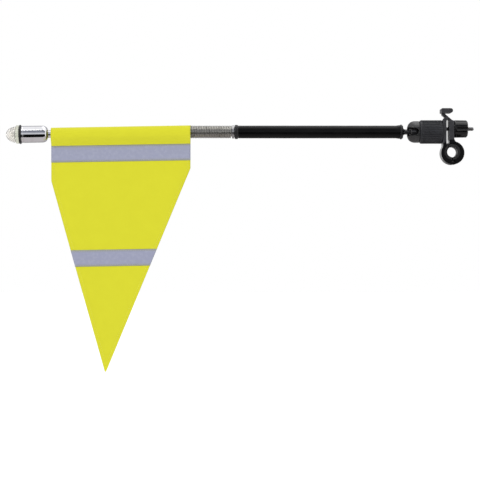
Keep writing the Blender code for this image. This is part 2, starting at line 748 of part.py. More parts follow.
def lamp_insides():
    o_ring = turned(
        "lamp_o_ring",
        arc((-431.25 * MM, 8.5 * MM), (1.15 * MM, 1.2 * MM), 180.0, 0.0, 6),
        RUBBER,
        bore=[(-432.4 * MM, 7.25 * MM), (-430.1 * MM, 7.25 * MM)],
    )
    reflector = turned(
        "lamp_reflector",
        [(-437.4 * MM, 5.0 * MM), (-433.4 * MM, 3.6 * MM)],
        POLISHED,
        bore=[(-437.4 * MM, 4.6 * MM), (-433.4 * MM, 2.9 * MM)],
        facets=28,
    )
    led = turned(
        "lamp_led",
        arc((-438.2 * MM, 0.0), (2.3 * MM, 2.5 * MM), 180.0, 90.0, 6) + [(-432.0 * MM, 2.5 * MM)],
        CLEAR,
        facets=COARSE,
    )
    board = turned(
        "lamp_board",
        [(-431.6 * MM, 5.2 * MM), (-430.6 * MM, 5.2 * MM), (-430.6 * MM, 1.2 * MM), (-425.3 * MM, 1.2 * MM)],
        CIRCUIT,
        facets=COARSE,
    )
    cells = []
    cell_pitch, cell_thickness = 3.2 * MM, 3.05 * MM
    for i in range(3):
        start = -424.8 * MM + i * cell_pitch
        cells.append(
            turned(
                f"button_cell_{i + 1}",
                [
                    (start, 4.6 * MM),
                    (start + 0.5 * MM, 4.6 * MM),
                    (start + 0.5 * MM, 5.8 * MM),
                    (start + cell_thickness, 5.8 * MM),
                ],
                STEEL,
                facets=COARSE,
            )
        )
    path = helix(-414.7 * MM, -410.9 * MM, 3.0, lambda share: (3.0 + 2.3 * share) * MM, 10)
    contact = coil("cell_spring", path, 0.28 * MM, STEEL, 0)
    return [drooped(piece) for piece in (o_ring, reflector, led, board, *cells, contact)]


fixed_jaw()
hinged_jaw()
liners()
hinge_pin()
clamp_bolt()
thumb_nut()
ball_socket()
lock_collar()
ball_stud()
arm()
spring()
spring_plugs()
mast()
pennant()
bands()
lamp_body()
lens()
lamp_insides()
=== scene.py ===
"""A bicycle safety flag: fluorescent pennant, sprung mast, lamp tip, ball joint and tube clamp.

The sections follow the flag as it is put together, from the clamp outwards to the lamp. The
arm lies along X, the pennant hangs towards -Z, and the clamp's hole is at the origin.
"""

import math

import bmesh
import bpy
import numpy as np
from mathutils import Matrix, Vector


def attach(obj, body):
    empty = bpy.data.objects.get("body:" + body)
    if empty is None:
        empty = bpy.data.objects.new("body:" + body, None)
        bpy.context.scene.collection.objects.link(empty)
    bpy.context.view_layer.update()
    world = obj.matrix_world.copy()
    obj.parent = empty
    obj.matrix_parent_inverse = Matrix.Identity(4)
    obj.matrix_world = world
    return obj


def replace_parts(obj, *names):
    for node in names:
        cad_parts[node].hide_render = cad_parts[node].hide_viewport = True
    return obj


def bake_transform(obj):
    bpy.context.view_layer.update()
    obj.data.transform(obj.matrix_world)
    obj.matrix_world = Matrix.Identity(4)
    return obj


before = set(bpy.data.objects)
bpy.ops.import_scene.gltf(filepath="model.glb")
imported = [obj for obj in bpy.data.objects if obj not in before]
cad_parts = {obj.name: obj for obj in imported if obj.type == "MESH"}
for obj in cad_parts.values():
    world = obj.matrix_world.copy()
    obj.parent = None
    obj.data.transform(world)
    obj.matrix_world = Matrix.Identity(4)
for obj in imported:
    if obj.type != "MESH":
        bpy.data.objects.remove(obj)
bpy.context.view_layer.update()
MM = 0.001
ARM_Z = 20.3 * MM  # the arm's axis lies along X at this height

# ---- Fixed jaw -------------------------------------------
# The half of the tube clamp that carries the ball joint. Dark grey glass-filled nylon, moulded
# in one piece with its ear, its half ring and the spigot that the lock collar screws on.


class Value:
    """A number in a node tree, so that sums on it are written as sums."""

    def __init__(self, maker, socket):
        self.maker, self.socket = maker, socket

    def maths(self, operation, *terms):
        made = self.maker.node("ShaderNodeMath", dict(enumerate(terms)), operation=operation)
        return Value(self.maker, made.outputs[0])

    def ramp(self, low, high):
        """0 up to low, 1 from high, and smooth between."""
        ends = {"Value": self, "From Min": low, "From Max": high}
        made = self.maker.node("ShaderNodeMapRange", ends, interpolation_type="SMOOTHSTEP")
        return Value(self.maker, made.outputs["Result"])


def spell(sign, operation):
    """Lets values be joined by one sign, with a plain number on either side of it."""
    setattr(Value, f"__{sign}__", lambda self, other: self.maths(operation, self, other))
    setattr(Value, f"__r{sign}__", lambda self, other: self.maths(operation, other, self))


spell("add", "ADD")
spell("sub", "SUBTRACT")
spell("mul", "MULTIPLY")
spell("truediv", "DIVIDE")


class Tree:
    """Makes the nodes of one node tree: first a node's settings, then what its sockets take."""

    def node(self, kind, inputs=(), **settings):
        made = self.tree.nodes.new(kind)
        for setting, value in settings.items():
            setattr(made, setting, value)
        for key, value in dict(inputs).items():
            if isinstance(value, Value):
                value = value.socket
            if isinstance(value, bpy.types.NodeSocket):
                self.tree.links.new(value, made.inputs[key])
            else:
                made.inputs[key].default_value = value
        return made


class Finish(Tree):
    """One material on a Principled shader. Its patterns lie in object space, in metres."""

    def __init__(self, name, colour, roughness, **sockets):
        self.material = bpy.data.materials.new(name)
        self.material.use_nodes = True
        self.tree = self.material.node_tree
        self.shader = self.tree.nodes["Principled BSDF"]
        self.colour, self.roughness = colour, roughness
        self.shader.inputs["Base Color"].default_value = (*colour, 1.0)
        self.shader.inputs["Roughness"].default_value = roughness
        for socket, value in sockets.items():
            self.shader.inputs[socket.replace("_", " ")].default_value = value

    def feed(self, socket, value):
        source = value.socket if isinstance(value, Value) else value
        self.tree.links.new(source, self.shader.inputs[socket])
        return self

    def place(self, stretch=(1.0, 1.0, 1.0), by="Object"):
        where = self.node("ShaderNodeTexCoord").outputs[by]
        return self.node("ShaderNodeMapping", {"Vector": where, "Scale": stretch}).outputs[0]

    def noise(self, scale, detail=2.0, roughness=0.5, stretch=(1.0, 1.0, 1.0), by="Object"):
        where = self.place(stretch, by)
        inputs = {"Vector": where, "Scale": scale, "Detail": detail, "Roughness": roughness}
        return Value(self, self.node("ShaderNodeTexNoise", inputs).outputs[0])

    def bands(self, scale, axis, by="Object", distortion=0.0):
        inputs = {"Vector": self.place(by=by), "Scale": scale, "Distortion": distortion}
        made = self.node("ShaderNodeTexWave", inputs, bands_direction=axis)
        return Value(self, made.outputs[1])

    def attribute(self, name):
        return Value(self, self.node("ShaderNodeAttribute", attribute_name=name).outputs["Fac"])

    def blend(self, mask, first, second):
        made = self.node("ShaderNodeMix", data_type="RGBA")
        self.tree.links.new(mask.socket, made.inputs[0])
        for socket, colour in ((6, first), (7, second)):
            if isinstance(colour, bpy.types.NodeSocket):
                self.tree.links.new(colour, made.inputs[socket])
            else:
                made.inputs[socket].default_value = (*colour, 1.0)
        return made.outputs[2]

    def emboss(self, relief, depth):
        made = self.node("ShaderNodeBump", {"Height": relief, "Distance": depth})
        return self.feed("Normal", made.outputs[0])

    def glow(self, colour, strength):
        self.shader.inputs["Emission Color"].default_value = (*colour, 1.0)
        self.shader.inputs["Emission Strength"].default_value = strength
        return self


GRAIN = 0.02 * MM  # the depth of a fine surface grain, such as the mould's spark-eroded one


def nylon(name, shade, roughness, depth=GRAIN, gloss=0.26):
    """Moulded nylon: spark-eroded grain, a faint bloom, and edges rubbed paler."""
    made = Finish(name, shade, roughness, Specular_IOR_Level=gloss)
    bloom = made.noise(120.0, 3.0, 0.6)
    rubbed = made.attribute("rubbed") * made.noise(420.0, 3.0, 0.7).ramp(0.35, 0.62)
    pale = tuple(2.3 * c + 0.012 for c in shade)
    dusty = tuple(1.35 * c + 0.003 for c in shade)
    colour = made.blend(bloom.ramp(0.42, 0.75), shade, dusty)
    made.colour = made.blend(rubbed * 0.8, colour, pale)
    made.feed("Base Color", made.colour)
    made.roughness = roughness + (bloom - 0.5) * 0.22 + rubbed * 0.1
    made.feed("Roughness", made.roughness)
    grain = made.noise(2300.0, 2.0, 0.55) + made.noise(700.0, 1.0) * 0.6
    return made.emboss(grain, depth)


def link(name, mesh, material=None):
    """A new piece at the origin, with its place in its mesh."""
    made = bpy.data.objects.new(name, mesh)
    bpy.context.scene.collection.objects.link(made)
    if material:
        mesh.materials.clear()
        mesh.materials.append(material)
    return made


def settled(source, name, material=None):
    """A plain mesh piece, from an object with its modifiers in effect. The object goes."""
    bpy.context.view_layer.update()
    evaluated = source.evaluated_get(bpy.context.evaluated_depsgraph_get())
    mesh = bpy.data.meshes.new_from_object(evaluated)
    bpy.data.objects.remove(source)
    mesh.name = name
    mesh.shade_smooth()
    return link(name, mesh, material)


def cleaned(mesh, weld):
    """Joins points that are nearer than weld, in millimetres, and turns every face outwards."""
    work = bmesh.new()
    work.from_mesh(mesh)
    bmesh.ops.remove_doubles(work, verts=work.verts, dist=weld * MM)
    bmesh.ops.recalc_face_normals(work, faces=work.faces)
    work.to_mesh(mesh)
    work.free()
    return mesh


RUB_GAIN = 22000.0  # an edge is fully rubbed where it stands 1 / RUB_GAIN metres proud


def mark_rubbed(mesh):
    """Stores how far each vertex stands proud of its neighbours, where hands and bags rub."""
    count = len(mesh.vertices)
    places, normals = np.zeros((2, count * 3))
    mesh.vertices.foreach_get("co", places)
    mesh.vertices.foreach_get("normal", normals)
    pairs = np.zeros(len(mesh.edges) * 2, int)
    mesh.edges.foreach_get("vertices", pairs)
    places, pairs = places.reshape(-1, 3), pairs.reshape(-1, 2)
    proud = np.zeros((count, 3))
    degree = np.zeros(count)
    for near, far in ((0, 1), (1, 0)):
        np.add.at(proud, pairs[:, near], places[pairs[:, far]])
        np.add.at(degree, pairs[:, near], 1)
    proud = places - proud / np.maximum(degree, 1)[:, None]
    height = (proud * normals.reshape(-1, 3)).sum(1)
    for _ in range(2):
        spread = np.zeros(count)
        for near, far in ((0, 1), (1, 0)):
            np.add.at(spread, pairs[:, near], height[pairs[:, far]])
        height = 0.5 * height + 0.5 * spread / np.maximum(degree, 1)
    layer = mesh.attributes.new("rubbed", "FLOAT", "POINT")
    layer.data.foreach_set("value", np.clip(height * RUB_GAIN, 0, 1).astype(np.float32))


def moulded(name, node, grid, material, rounds=5):
    """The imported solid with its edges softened, as a moulding's are."""
    source = link(name + "_blank", cleaned(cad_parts[node].data.copy(), 0.002))
    skin = source.modifiers.new("skin", "REMESH")
    skin.mode, skin.voxel_size = "VOXEL", grid
    soften = source.modifiers.new("soften", "SMOOTH")
    soften.factor, soften.iterations = 0.5, rounds
    thin = source.modifiers.new("thin", "DECIMATE")
    thin.ratio = 0.35
    piece = settled(source, name, material)
    mark_rubbed(piece.data)
    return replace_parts(piece, node)


JAW_GREY = (0.026, 0.026, 0.029)
RING_PAINTED_SHADE = (0.0012, 0.0012, 0.0014)
RING_EDGE = (11.6 * MM, 13.0 * MM)  # the ring's painted shade and smoother finish end between these, from the hole's axis


def ring_with_painted_shade(finish):
    """Round the hole: painted shade, a deeper black for the shade the ring's face sits in, and a
    smoother finish than the grained arms.
    """
    flat = finish.place((1.0, 0.0, 1.0))
    out = finish.node("ShaderNodeVectorMath", {0: flat}, operation="LENGTH").outputs["Value"]
    grained = Value(finish, out).ramp(*RING_EDGE)
    # painted shade: the ring's face is coloured near black for the shade it sits in
    finish.feed("Base Color", finish.blend(grained, RING_PAINTED_SHADE, finish.colour))
    finish.feed("Roughness", finish.roughness - (1 - grained) * 0.2)
    return finish.material


jaw_nylon = ring_with_painted_shade(nylon("jaw_nylon", JAW_GREY, 0.42, gloss=0.14))
fixed_jaw = moulded("fixed_jaw_moulding", "fixed_jaw", 0.27 * MM, jaw_nylon)
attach(fixed_jaw, "clamp")

# ---- Rubber pads -----------------------------------------
# Two pads line the jaws' bore, to grip a tube without marking it. Black rubber, moulded
# with a dull skin, and pressed into the jaws.

RUBBER_BLACK = (0.006, 0.006, 0.006)
RUBBER_BLOOM = (0.016, 0.016, 0.0155)
PAD_MIDDLE, PAD_OUTER = 6.3, 7.5  # a pad's back is pushed outwards between these radii
PAD_BACK, PAD_GAP = 7.9, 0.28  # its lip starts at this radius, and its back is this far off


def rubber(name, shade, roughness, gloss=0.3):
    """Moulded rubber: a dull skin with a patchy grey bloom."""
    made = Finish(name, shade, roughness, Specular_IOR_Level=gloss)
    bloom = made.noise(260.0, 4.0, 0.65)
    made.feed("Base Color", made.blend(bloom.ramp(0.45, 0.8), shade, RUBBER_BLOOM))
    made.feed("Roughness", roughness + (bloom - 0.5) * 0.2)
    return made.emboss(made.noise(1500.0, 3.0), GRAIN).material


pad_rubber = rubber("pad_rubber", RUBBER_BLACK, 0.5, 0.5)
for side, body in (("fixed", "clamp"), ("hinged", "jaw")):
    pad = moulded(f"pad_{side}", f"liner_{side}", 0.22 * MM, pad_rubber, rounds=3)
    for vertex in pad.data.vertices:  # pressed home, so that its back meets the bore
        out = math.hypot(vertex.co.x, vertex.co.z) / MM
        share = min(1.0, max(0.0, (out - PAD_MIDDLE) / (PAD_OUTER - PAD_MIDDLE)))
        push = share * PAD_GAP if out < PAD_BACK else 0.0
        vertex.co.x *= 1.0 + push / out
        vertex.co.z *= 1.0 + push / out
    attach(pad, body)

# ---- Hinge pin -------------------------------------------
# Joins the jaws below the ring. A blacked steel pin, pushed through the knuckles of both
# jaws, with its ends peened over into low heads.

HINGE = (0.4 * MM, -10.4 * MM)
BLUNT = 0.3  # a corner that turns less than this, in radians, needs no rounding
EASE_STEPS = 3
HOLD = 1.2  # a flat is held by a point this many times as far from the corner as the rounding


def eased(points, radius, closed):
    """An outline with its corners rounded, and a point on each side that keeps the flats flat."""
    made = []
    count = len(points)
    for i, corner in enumerate(points):
        corner = Vector(corner)
        ends = not closed and i in (0, count - 1)
        before, after = Vector(points[i - 1]), Vector(points[(i + 1) % count])
        turn = (corner - before).angle(after - corner, 0.0) if not ends else 0.0
        if ends or turn < BLUNT:
            made.append(tuple(corner))
            continue
        back, on = before - corner, after - corner
        reach = min(radius, 0.4 * back.length, 0.4 * on.length)
        start, end = corner + back.normalized() * reach, corner + on.normalized() * reach
        made.append(tuple(corner + back.normalized() * reach * HOLD))
        for step in range(EASE_STEPS + 1):
            t = step / EASE_STEPS
            made.append(tuple((1 - t) ** 2 * start + 2 * t * (1 - t) * corner + t**2 * end))
        made.append(tuple(corner + on.normalized() * reach * HOLD))
    return made


def quads(rows, columns, rows_close=False, columns_close=True):
    """The faces between rows of points, with as many points to a row as there are columns."""
    made = []
    for i in range(rows if rows_close else rows - 1):
        low, high = i * columns, ((i + 1) % rows) * columns
        for j in range(columns if columns_close else columns - 1):
            k = (j + 1) % columns
            made.append((low + j, low + k, high + k, high + j))
    return made


AXIS = (0.0, ARM_Z)


def turned(name, outline, material, ring=False, ease=0.25, facets=96, axis="X", centre=AXIS):
    """A turned piece. outline has (place along the axis, radius), all in millimetres.

    With ring it is a closed loop round a hole, and otherwise it runs from axis to axis.
    """
    points = eased(outline, ease, ring)
    along = np.array([p[0] for p in points]) * MM
    radius = np.maximum(np.array([p[1] for p in points]) * MM, 0.0)
    angle = np.arange(facets) * 2 * math.pi / facets
    across, up = centre
    spots = [(a, r * math.sin(t), r * math.cos(t)) for a, r in zip(along, radius) for t in angle]
    if axis == "X":
        grid = [(a, across + y, up + z) for a, y, z in spots]
    else:
        grid = [(across + x, a, up + z) for a, x, z in spots]
    mesh = bpy.data.meshes.new(name)
    mesh.from_pydata(grid, [], quads(len(points), facets, rows_close=ring))
    cleaned(mesh, 0.0005).shade_smooth()
    return link(name, mesh, material)


ROUND_X, PLAIN = (40.0, 1.0, 1.0), (1.0, 1.0, 1.0)  # how a metal's tool lines are drawn out


def machined(name, colour, roughness, lines=0.4, stretch=ROUND_X, tarnish=(0.8, 0.78, 0.74)):
    """Bare metal with fine tool lines and a slight uneven tarnish."""
    made = Finish(name, colour, roughness, Metallic=1.0)
    cloud = made.noise(140.0, 4.0, 0.6)
    darker = tuple(c * t for c, t in zip(colour, tarnish))
    made.feed("Base Color", made.blend(cloud.ramp(0.45, 0.72), colour, darker))
    tool = made.noise(220.0, 3.0, 0.6, stretch)
    made.feed("Roughness", roughness + (cloud - 0.5) * 0.12 + (tool - 0.5) * 0.1 * lines)
    return made.emboss(tool, 0.006 * MM * lines).material


blacked = machined("blacked_steel", (0.045, 0.043, 0.042), 0.35, 0.5, PLAIN)
pin = turned(
    "hinge_pin_turned",
    [(-8.3, 0.0), (-8.25, 0.8), (-8.1, 1.4), (-7.8, 1.5), (-7.8, 1.1)]
    + [(7.8, 1.1), (7.8, 1.5), (8.1, 1.4), (8.25, 0.8), (8.3, 0.0)],
    blacked, ease=0.2, facets=40, axis="Y", centre=HINGE,
)
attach(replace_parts(pin, "hinge_pin"), "clamp")

# ---- Hinged jaw ------------------------------------------
# The half that swings open. The same dark nylon, with a tongue that reaches back between
# the fixed ear's prongs to a finger tab, whose top has low ribs for grip.


class Recipe(Tree):
    """A Geometry Nodes tree with named sizes, that leaves a plain mesh."""

    def __init__(self, name, **sizes):
        self.tree = bpy.data.node_groups.new(name, "GeometryNodeTree")
        face = self.tree.interface
        face.new_socket(name="Geometry", in_out="INPUT", socket_type="NodeSocketGeometry")
        face.new_socket(name="Geometry", in_out="OUTPUT", socket_type="NodeSocketGeometry")
        for size, value in sizes.items():
            kind = "NodeSocketInt" if isinstance(value, int) else "NodeSocketFloat"
            face.new_socket(name=size, in_out="INPUT", socket_type=kind).default_value = value
        self.given = self.tree.nodes.new("NodeGroupInput")

    def size(self, name):
        return Value(self, self.given.outputs[name])

    def vector(self, x=0.0, y=0.0, z=0.0):
        return self.node("ShaderNodeCombineXYZ", {0: x, 1: y, 2: z}).outputs[0]

    def grown(self, kind, inputs=()):
        """What one geometry node makes."""
        return self.node("GeometryNode" + kind, inputs).outputs[0]

    def close(self, geometry, material):
        solid = self.grown("RealizeInstances", {0: geometry})
        coated = self.grown("SetMaterial", {0: solid, "Material": material})
        end = self.tree.nodes.new("NodeGroupOutput")
        self.tree.links.new(coated, end.inputs[0])
        return self

    def grow(self, name, line=(), **sizes):
        """Runs the tree on a line of points, or on nothing, with these sizes."""
        mesh = bpy.data.meshes.new(name + "_line")
        mesh.from_pydata(list(line), [(i, i + 1) for i in range(len(line) - 1)], [])
        source = link(name + "_line", mesh)
        modifier = source.modifiers.new("grow", "NODES")
        modifier.node_group = self.tree
        for item in self.tree.interface.items_tree:
            if item.in_out == "INPUT" and item.name in sizes:
                modifier[item.identifier] = sizes[item.name]
        return settled(source, name)


def rib_row(material):
    """Low rounded ribs, side by side along X, each running along Y."""
    made = Recipe("rib_row", Count=5, Pitch=1.5 * MM, Length=12 * MM, Radius=0.35 * MM)
    half = made.size("Length") * 0.5
    reach = {"Start": made.vector(y=half * -1.0), "End": made.vector(y=half)}
    spine = made.grown("CurvePrimitiveLine", reach)
    ring = made.grown("CurvePrimitiveCircle", {"Resolution": 14, "Radius": made.size("Radius")})
    bar = made.grown("CurveToMesh", {0: spine, 1: ring, "Fill Caps": True})
    places = {"Count": made.size("Count"), "Offset": made.vector(made.size("Pitch"))}
    row = made.grown("MeshLine", places)
    return made.close(made.grown("InstanceOnPoints", {"Points": row, "Instance": bar}), material)


hinged_jaw = moulded("hinged_jaw_moulding", "hinged_jaw", 0.27 * MM, jaw_nylon)
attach(hinged_jaw, "jaw")
grip = rib_row(jaw_nylon).grow("finger_tab_ribs")
grip.data.transform(Matrix.Translation((-9.0 * MM, 0.0, 43.5 * MM)))
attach(grip, "jaw")

# ---- Clamp bolt ------------------------------------------
# Draws the jaws together. A zinc-plated M4 screw: its hexagon head is held in a pocket of
# the fixed jaw, and its rolled thread runs out to the right through both ears.

BOLT_Z, THREAD_PITCH = 23.3 * MM, 0.8
CHAMFER = (0.9, 0.75)  # how long and how deep the chamfer at the bolt's point is
FLANK = (0.12, 0.72)  # where a thread's flank starts and how wide it is, in half pitches


def threaded(name, start, end, radius, pitch, depth, material, axis_z, facets=40, per_turn=9):
    """A rolled thread along X with a chamfered point. Lengths are in millimetres."""
    rows = round((end - start) / pitch * per_turn) + 1
    place = np.linspace(start, end, rows)
    grid = []
    for x in place:
        point = min(1.0, max(0.0, (end - x) / CHAMFER[0]))
        for j in range(facets):
            t = 2 * math.pi * j / facets
            wave = abs(((x / pitch - t / (2 * math.pi)) % 1.0) * 2 - 1)
            crest = min(1.0, max(0.0, (wave - FLANK[0]) / FLANK[1]))
            r = radius - depth * (1 - crest) - (1 - point) * CHAMFER[1]
            grid.append((x * MM, r * MM * math.sin(t), axis_z + r * MM * math.cos(t)))
    ends = [tuple(range(facets)), tuple(range((rows - 1) * facets, rows * facets))]
    mesh = bpy.data.meshes.new(name)
    mesh.from_pydata(grid, [], ends + quads(rows, facets))
    cleaned(mesh, 0.0005).shade_smooth()
    return link(name, mesh, material)


zinc = machined("zinc_plate", (0.36, 0.36, 0.365), 0.32, 0.6, PLAIN, (0.6, 0.58, 0.55))
bolt = threaded("clamp_bolt_thread", -10.2, 22.0, 2.0, THREAD_PITCH, 0.42, zinc, BOLT_Z)
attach(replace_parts(bolt, "clamp_bolt"), "clamp")
head = turned(
    "clamp_bolt_head",
    [(-13.0, 0.0), (-13.0, 3.4), (-12.6, 4.0), (-10.1, 4.0), (-9.9, 3.8), (-9.9, 0.0)],
    zinc, ease=0.15, facets=6, centre=(0.0, BOLT_Z),
)
head.data.shade_flat()
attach(head, "clamp")

# ---- Thumb nut -------------------------------------------
# Closes the clamp by hand. A ribbed grip of glossier black nylon, moulded round a brass
# insert with the thread, on a plated washer that bears on the hinged ear.

nut_nylon = nylon("nut_nylon", (0.0016, 0.0016, 0.0019), 0.2, gloss=0.34).material
nut = moulded("thumb_nut_moulding", "thumb_nut", 0.24 * MM, nut_nylon)
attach(nut, "nut")
brass = machined("insert_brass", (0.62, 0.44, 0.19), 0.3, 0.8, tarnish=(0.7, 0.62, 0.5))
insert = turned(
    "nut_insert_turned",
    [(11.1, 3.4), (15.6, 3.4), (15.6, 2.15), (11.1, 2.15)],
    brass, ring=True, ease=0.2, facets=48, centre=(0.0, BOLT_Z),
)
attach(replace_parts(insert, "nut_insert"), "nut")
washer = turned(
    "nut_washer_pressed",
    [(2.1, 5.2), (3.0, 5.2), (3.0, 2.3), (2.1, 2.3)],
    zinc, ring=True, ease=0.18, facets=64, centre=(0.0, BOLT_Z),
)
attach(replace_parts(washer, "nut_washer"), "washer")

# ---- Ball socket -----------------------------------------
# The collet that grips the ball: a split dome of slicker black nylon. The slot on its
# front lets the neck fold to the side, and its tail turns in the fixed jaw's spigot.

socket_nylon = nylon("socket_nylon", (0.011, 0.011, 0.0115), 0.26, 0.01 * MM, 0.5).material
socket = moulded("ball_socket_moulding", "ball_socket", 0.25 * MM, socket_nylon, rounds=4)
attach(socket, "socket")

# ---- Lock collar -----------------------------------------
# Screws on the fixed jaw's spigot and squeezes the collet. Dark grey nylon with straight
# grip ribs moulded all round between two plain rims.

COLLAR_GREY = (0.015, 0.0156, 0.0195)
collar_nylon = nylon("collar_nylon", COLLAR_GREY, 0.46, gloss=0.45).material
collar = turned(
    "lock_collar_body",
    [
        (-32.1, 10.7), (-31.6, 11.35), (-29.7, 11.35), (-29.5, 11.15), (-12.3, 11.15),
        (-12.1, 11.3), (-9.9, 11.3), (-9.6, 11.0), (-9.6, 8.5), (-25.6, 8.5), (-25.6, 10.75),
        (-30.8, 10.75), (-31.0, 10.2), (-32.1, 10.2),
    ],
    collar_nylon, ring=True, ease=0.22, facets=128,
)
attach(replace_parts(collar, "lock_collar"), "collar")


def rib_ring(material):
    """Straight ribs with rounded backs, set round the arm's axis."""
    made = Recipe(
        "rib_ring",
        Count=36, Start=-31.0 * MM, End=-10.2 * MM, Distance=11.15 * MM, Width=0.62 * MM,
        Rise=0.4 * MM,
    )
    reach = {"Start": made.vector(made.size("Start")), "End": made.vector(made.size("End"))}
    spine = made.grown("ResampleCurve", {0: made.grown("CurvePrimitiveLine", reach), "Count": 18})
    share = Value(made, made.grown("SplineParameter"))
    blunt = (share * (1 - share) * 4.0).ramp(0.0, 0.22)
    spine = made.grown("SetCurveRadius", {0: spine, "Radius": 0.45 + blunt * 0.55})
    ring = made.grown("CurvePrimitiveCircle", {"Resolution": 12, "Radius": 1.0})
    oval = made.vector(made.size("Rise"), made.size("Width"), 1.0)
    flat = made.grown("Transform", {0: ring, "Scale": oval})
    bar = made.grown("CurveToMesh", {0: spine, 1: flat, "Fill Caps": True})
    out = made.grown("Transform", {0: bar, "Translation": made.vector(z=made.size("Distance"))})
    seeds = made.grown("Points", {"Count": made.size("Count")})
    ribs = made.grown("InstanceOnPoints", {"Points": seeds, "Instance": out})
    index = Value(made, made.grown("InputIndex"))
    turn = made.vector(index * (2 * math.pi) / made.size("Count"))
    ribs = made.grown("RotateInstances", {0: ribs, "Rotation": turn, "Local Space": False})
    lifted = made.grown("Transform", {0: ribs, "Translation": (0.0, 0.0, ARM_Z)})
    return made.close(lifted, material)


ribs = rib_ring(collar_nylon).grow("lock_collar_ribs")
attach(ribs, "collar")

# ---- Ball stud -------------------------------------------
# The ball and its neck are one turned piece of hard black nylon, polished where the ball
# runs. The flare meets the arm, and a spring clip holds the spigot inside the rear cap.

BALL_X, BALL_RADIUS = -36.9, 6.0


def arc(centre, radii, start, end, steps):
    """Points along part of an ellipse. Angles are in degrees."""
    share = [math.radians(start + (end - start) * i / steps) for i in range(steps + 1)]
    (x, y), (wide, high) = centre, radii
    return [(x + wide * math.cos(a), y + high * math.sin(a)) for a in share]


stud_nylon = nylon("stud_nylon", (0.008, 0.008, 0.009), 0.12, 0.004 * MM, 0.6).material
meet = math.degrees(math.asin(2.6 / BALL_RADIUS))
stud = turned(
    "ball_stud_turned",
    [(-66.0, 0.0), (-66.0, 2.5), (-65.6, 2.9), (-62.0, 2.9), (-61.95, 2.3), (-60.65, 2.3)]
    + [(-60.6, 2.9), (-49.3, 2.9), (-49.3, 6.2), (-48.8, 6.6)]
    + arc((-46.5, 6.6), (2.3, 4.0), 188.0, 270.0, 14)
    + arc((BALL_X, 0.0), (BALL_RADIUS, BALL_RADIUS), 180.0 - meet, 0.0, 34)[:-1]
    + [(BALL_X + BALL_RADIUS, 0.0)],
    stud_nylon,
)
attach(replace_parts(stud, "ball_stud"), "stud")


def coat(node, material):
    """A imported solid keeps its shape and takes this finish."""
    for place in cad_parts[node].material_slots:
        place.material = material


clip_steel = machined("pin_steel", (0.47, 0.46, 0.44), 0.3, 0.5, PLAIN)
coat("stud_snap_ring", clip_steel)

# ---- Arm -------------------------------------------------
# A glass-fibre rod inside a long black PVC sleeve. The sleeve is extruded, so it has faint
# lines along it. A moulded cap closes its rear end, and a ring its front.

PVC_BLACK = (0.0018, 0.0018, 0.002)
pvc = Finish("sleeve_pvc", PVC_BLACK, 0.3, Specular_IOR_Level=0.14)
smear = pvc.noise(45.0, 4.0, 0.6, (0.35, 1.0, 1.0))
drawn = pvc.noise(900.0, 2.0, 0.5, (0.012, 1.0, 1.0))
pvc.feed("Base Color", pvc.blend(smear.ramp(0.48, 0.8), PVC_BLACK, (0.0045, 0.0045, 0.0045)))
pvc.feed("Roughness", 0.27 + (smear - 0.5) * 0.3 + (drawn - 0.5) * 0.12)
pvc.emboss(drawn + pvc.noise(60.0, 2.0, 0.5, (0.25, 1.0, 1.0)) * 1.5, GRAIN)


def sleeve_radius(x):
    """The sleeve's outside, which an extruder never leaves quite even."""
    return 6.35 + 0.03 * math.sin(x * 0.31) * math.sin(x * 0.047)


sleeve = turned(
    "arm_sleeve_tube",
    [(-213.2, 6.35)]
    + [(x, sleeve_radius(x)) for x in np.linspace(-212.0, -56.0, 60)]
    + [(-54.5, 6.5), (-51.9, 6.95), (-51.9, 5.2), (-213.2, 5.2)],
    pvc.material, ring=True, ease=0.35,
)
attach(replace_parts(sleeve, "arm_sleeve"), "arm")

end_nylon = nylon("end_nylon", (0.009, 0.009, 0.01), 0.34).material
front_ring = turned(
    "arm_front_ring_moulding",
    [(-216.8, 6.6), (-216.3, 7.1), (-214.1, 7.1), (-213.5, 6.5)]
    + [(-213.25, 6.3), (-213.25, 5.2), (-216.8, 5.2)],
    end_nylon, ring=True, ease=0.3,
)
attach(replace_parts(front_ring, "arm_front_ring"), "arm")
rear_cap = turned(
    "arm_rear_cap_moulding",
    [
        (-76.0, 4.9), (-51.5, 4.9), (-51.5, 7.1), (-51.1, 7.4), (-50.1, 7.4), (-49.6, 7.1),
        (-49.6, 3.2), (-60.5, 3.2), (-60.5, 4.0), (-62.1, 4.0), (-62.1, 3.2), (-68.0, 3.2),
        (-68.0, 2.2), (-69.3, 2.2), (-69.3, 3.1), (-76.0, 3.1),
    ],
    end_nylon, ring=True, ease=0.2,
)
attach(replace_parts(rear_cap, "arm_rear_cap"), "arm")

GLASS_PALE, GLASS_DEEP = (0.66, 0.64, 0.55), (0.5, 0.48, 0.38)
glass = Finish("glass_fibre_rod", GLASS_PALE, 0.4)
strands = glass.noise(1600.0, 2.0, 0.6, (0.01, 1.0, 1.0))
glass.feed("Base Color", glass.blend(strands.ramp(0.35, 0.65), GLASS_PALE, GLASS_DEEP))
glass.emboss(strands, GRAIN)
coat("arm_rod", glass.material)

# ---- Spring root plug ------------------------------------
# A turned aluminium plug that joins the arm to the spring: the rod is glued in its rear,
# its flange stops the sleeve, and the first coils grip its front spigot.

plug_metal = machined("plug_aluminium", (0.4, 0.4, 0.405), 0.3, 1.0)
root_plug = turned(
    "spring_root_plug_turned",
    [
        (-226.0, 0.0), (-226.0, 4.08), (-225.5, 4.58), (-219.6, 4.58), (-219.6, 6.2),
        (-219.3, 6.5), (-217.4, 6.5), (-217.1, 6.2), (-217.1, 4.9), (-198.0, 4.9),
        (-198.0, 3.1), (-208.0, 3.1), (-208.0, 0.0),
    ],
    plug_metal, ease=0.2,
)
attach(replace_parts(root_plug, "spring_root_plug"), "arm")
